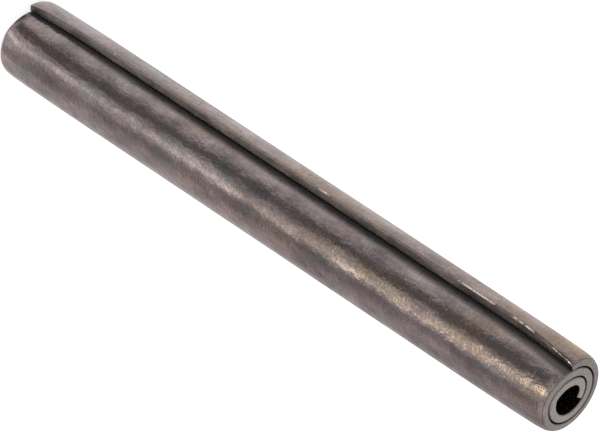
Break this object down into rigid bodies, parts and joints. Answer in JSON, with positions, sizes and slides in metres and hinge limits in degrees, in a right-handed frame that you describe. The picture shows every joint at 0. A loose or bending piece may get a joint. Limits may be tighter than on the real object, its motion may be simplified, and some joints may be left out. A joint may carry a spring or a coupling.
{
  "type": "coiled spring pin",
  "caption": "Rolled steel strip whose spiral coil is squeezed into a slightly smaller hole, where it grips and locks parts together.",
  "frame": {"origin": "middle of the flat end face that the pin stands on, on the pin's axis", "axes": "+Z along the pin's axis, up from that end; the outer lip of the coil stands at 275 degrees from +X towards +Y"},
  "size_m": [0.0104, 0.0104, 0.09],
  "materials": {
    "oiled_spring_steel": "dark hardened and oiled spring steel, satin, with fine scratches across the pin"
  },
  "bodies": {
    "root": {"coiled_pin": "oiled_spring_steel"}
  },
  "joints": []
}
